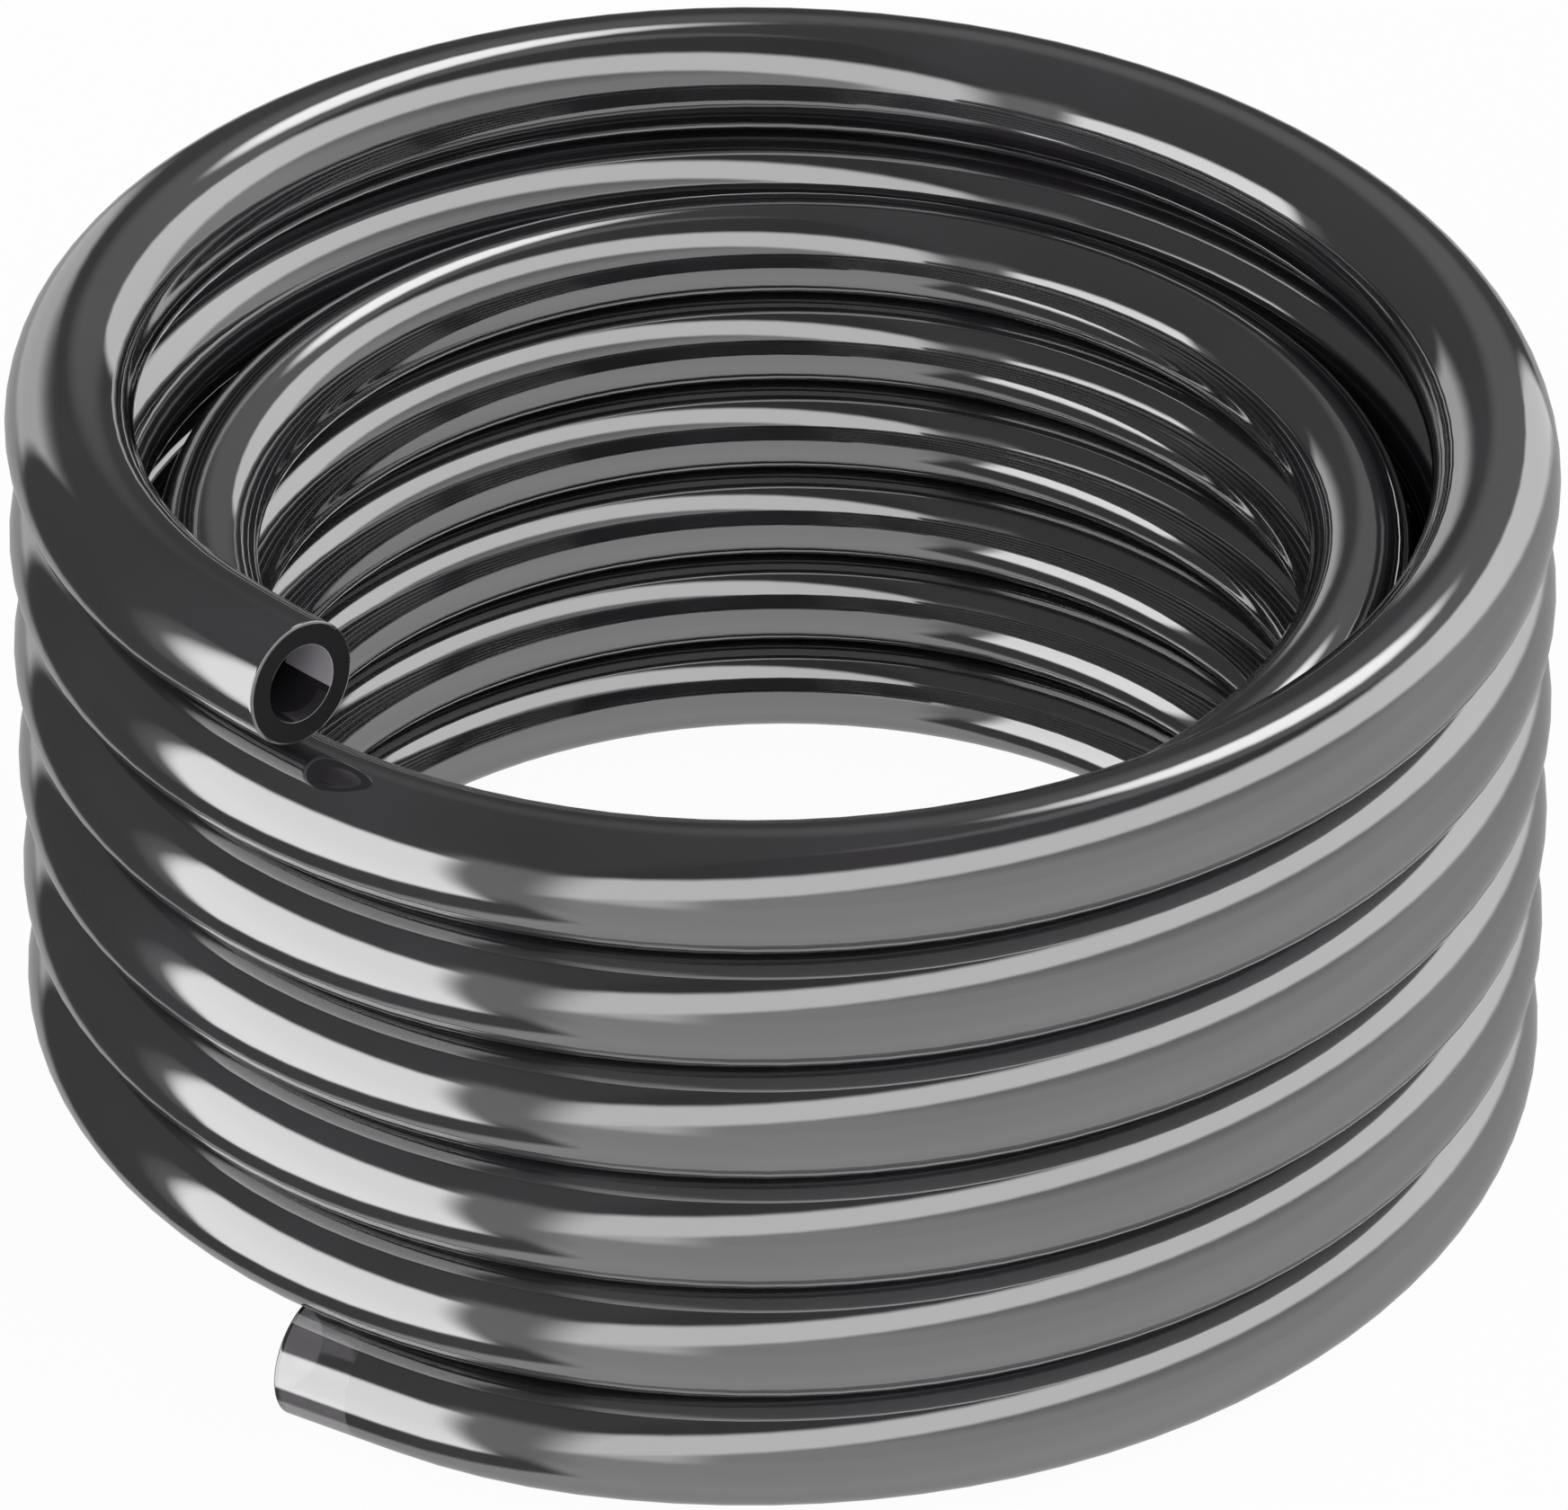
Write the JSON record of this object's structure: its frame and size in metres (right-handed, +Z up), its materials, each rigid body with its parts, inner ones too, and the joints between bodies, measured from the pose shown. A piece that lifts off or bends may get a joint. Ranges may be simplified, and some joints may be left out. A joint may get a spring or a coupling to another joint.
{
  "type": "immersion wort chiller",
  "caption": "Coil of clear smoke-grey hose wound in an outer and an inner layer with plain cut ends, for cooling hot wort in a kettle.",
  "frame": {"origin": "on the surface that the coil stands on, on the axis of its turns", "axes": "+Z up along the axis of the turns, +Y to the back of the coil as pictured, +X to its right"},
  "size_m": [0.194, 0.194, 0.1156],
  "materials": {
    "outer_hose": "glossy",
    "inner_hose": "glossy"
  },
  "bodies": {
    "root": {"outer_coil": "outer_hose", "outer_upper_end": "outer_hose", "outer_lower_end": "outer_hose", "inner_coil": "inner_hose", "inner_upper_end": "inner_hose", "inner_lower_end": "inner_hose"}
  },
  "joints": []
}
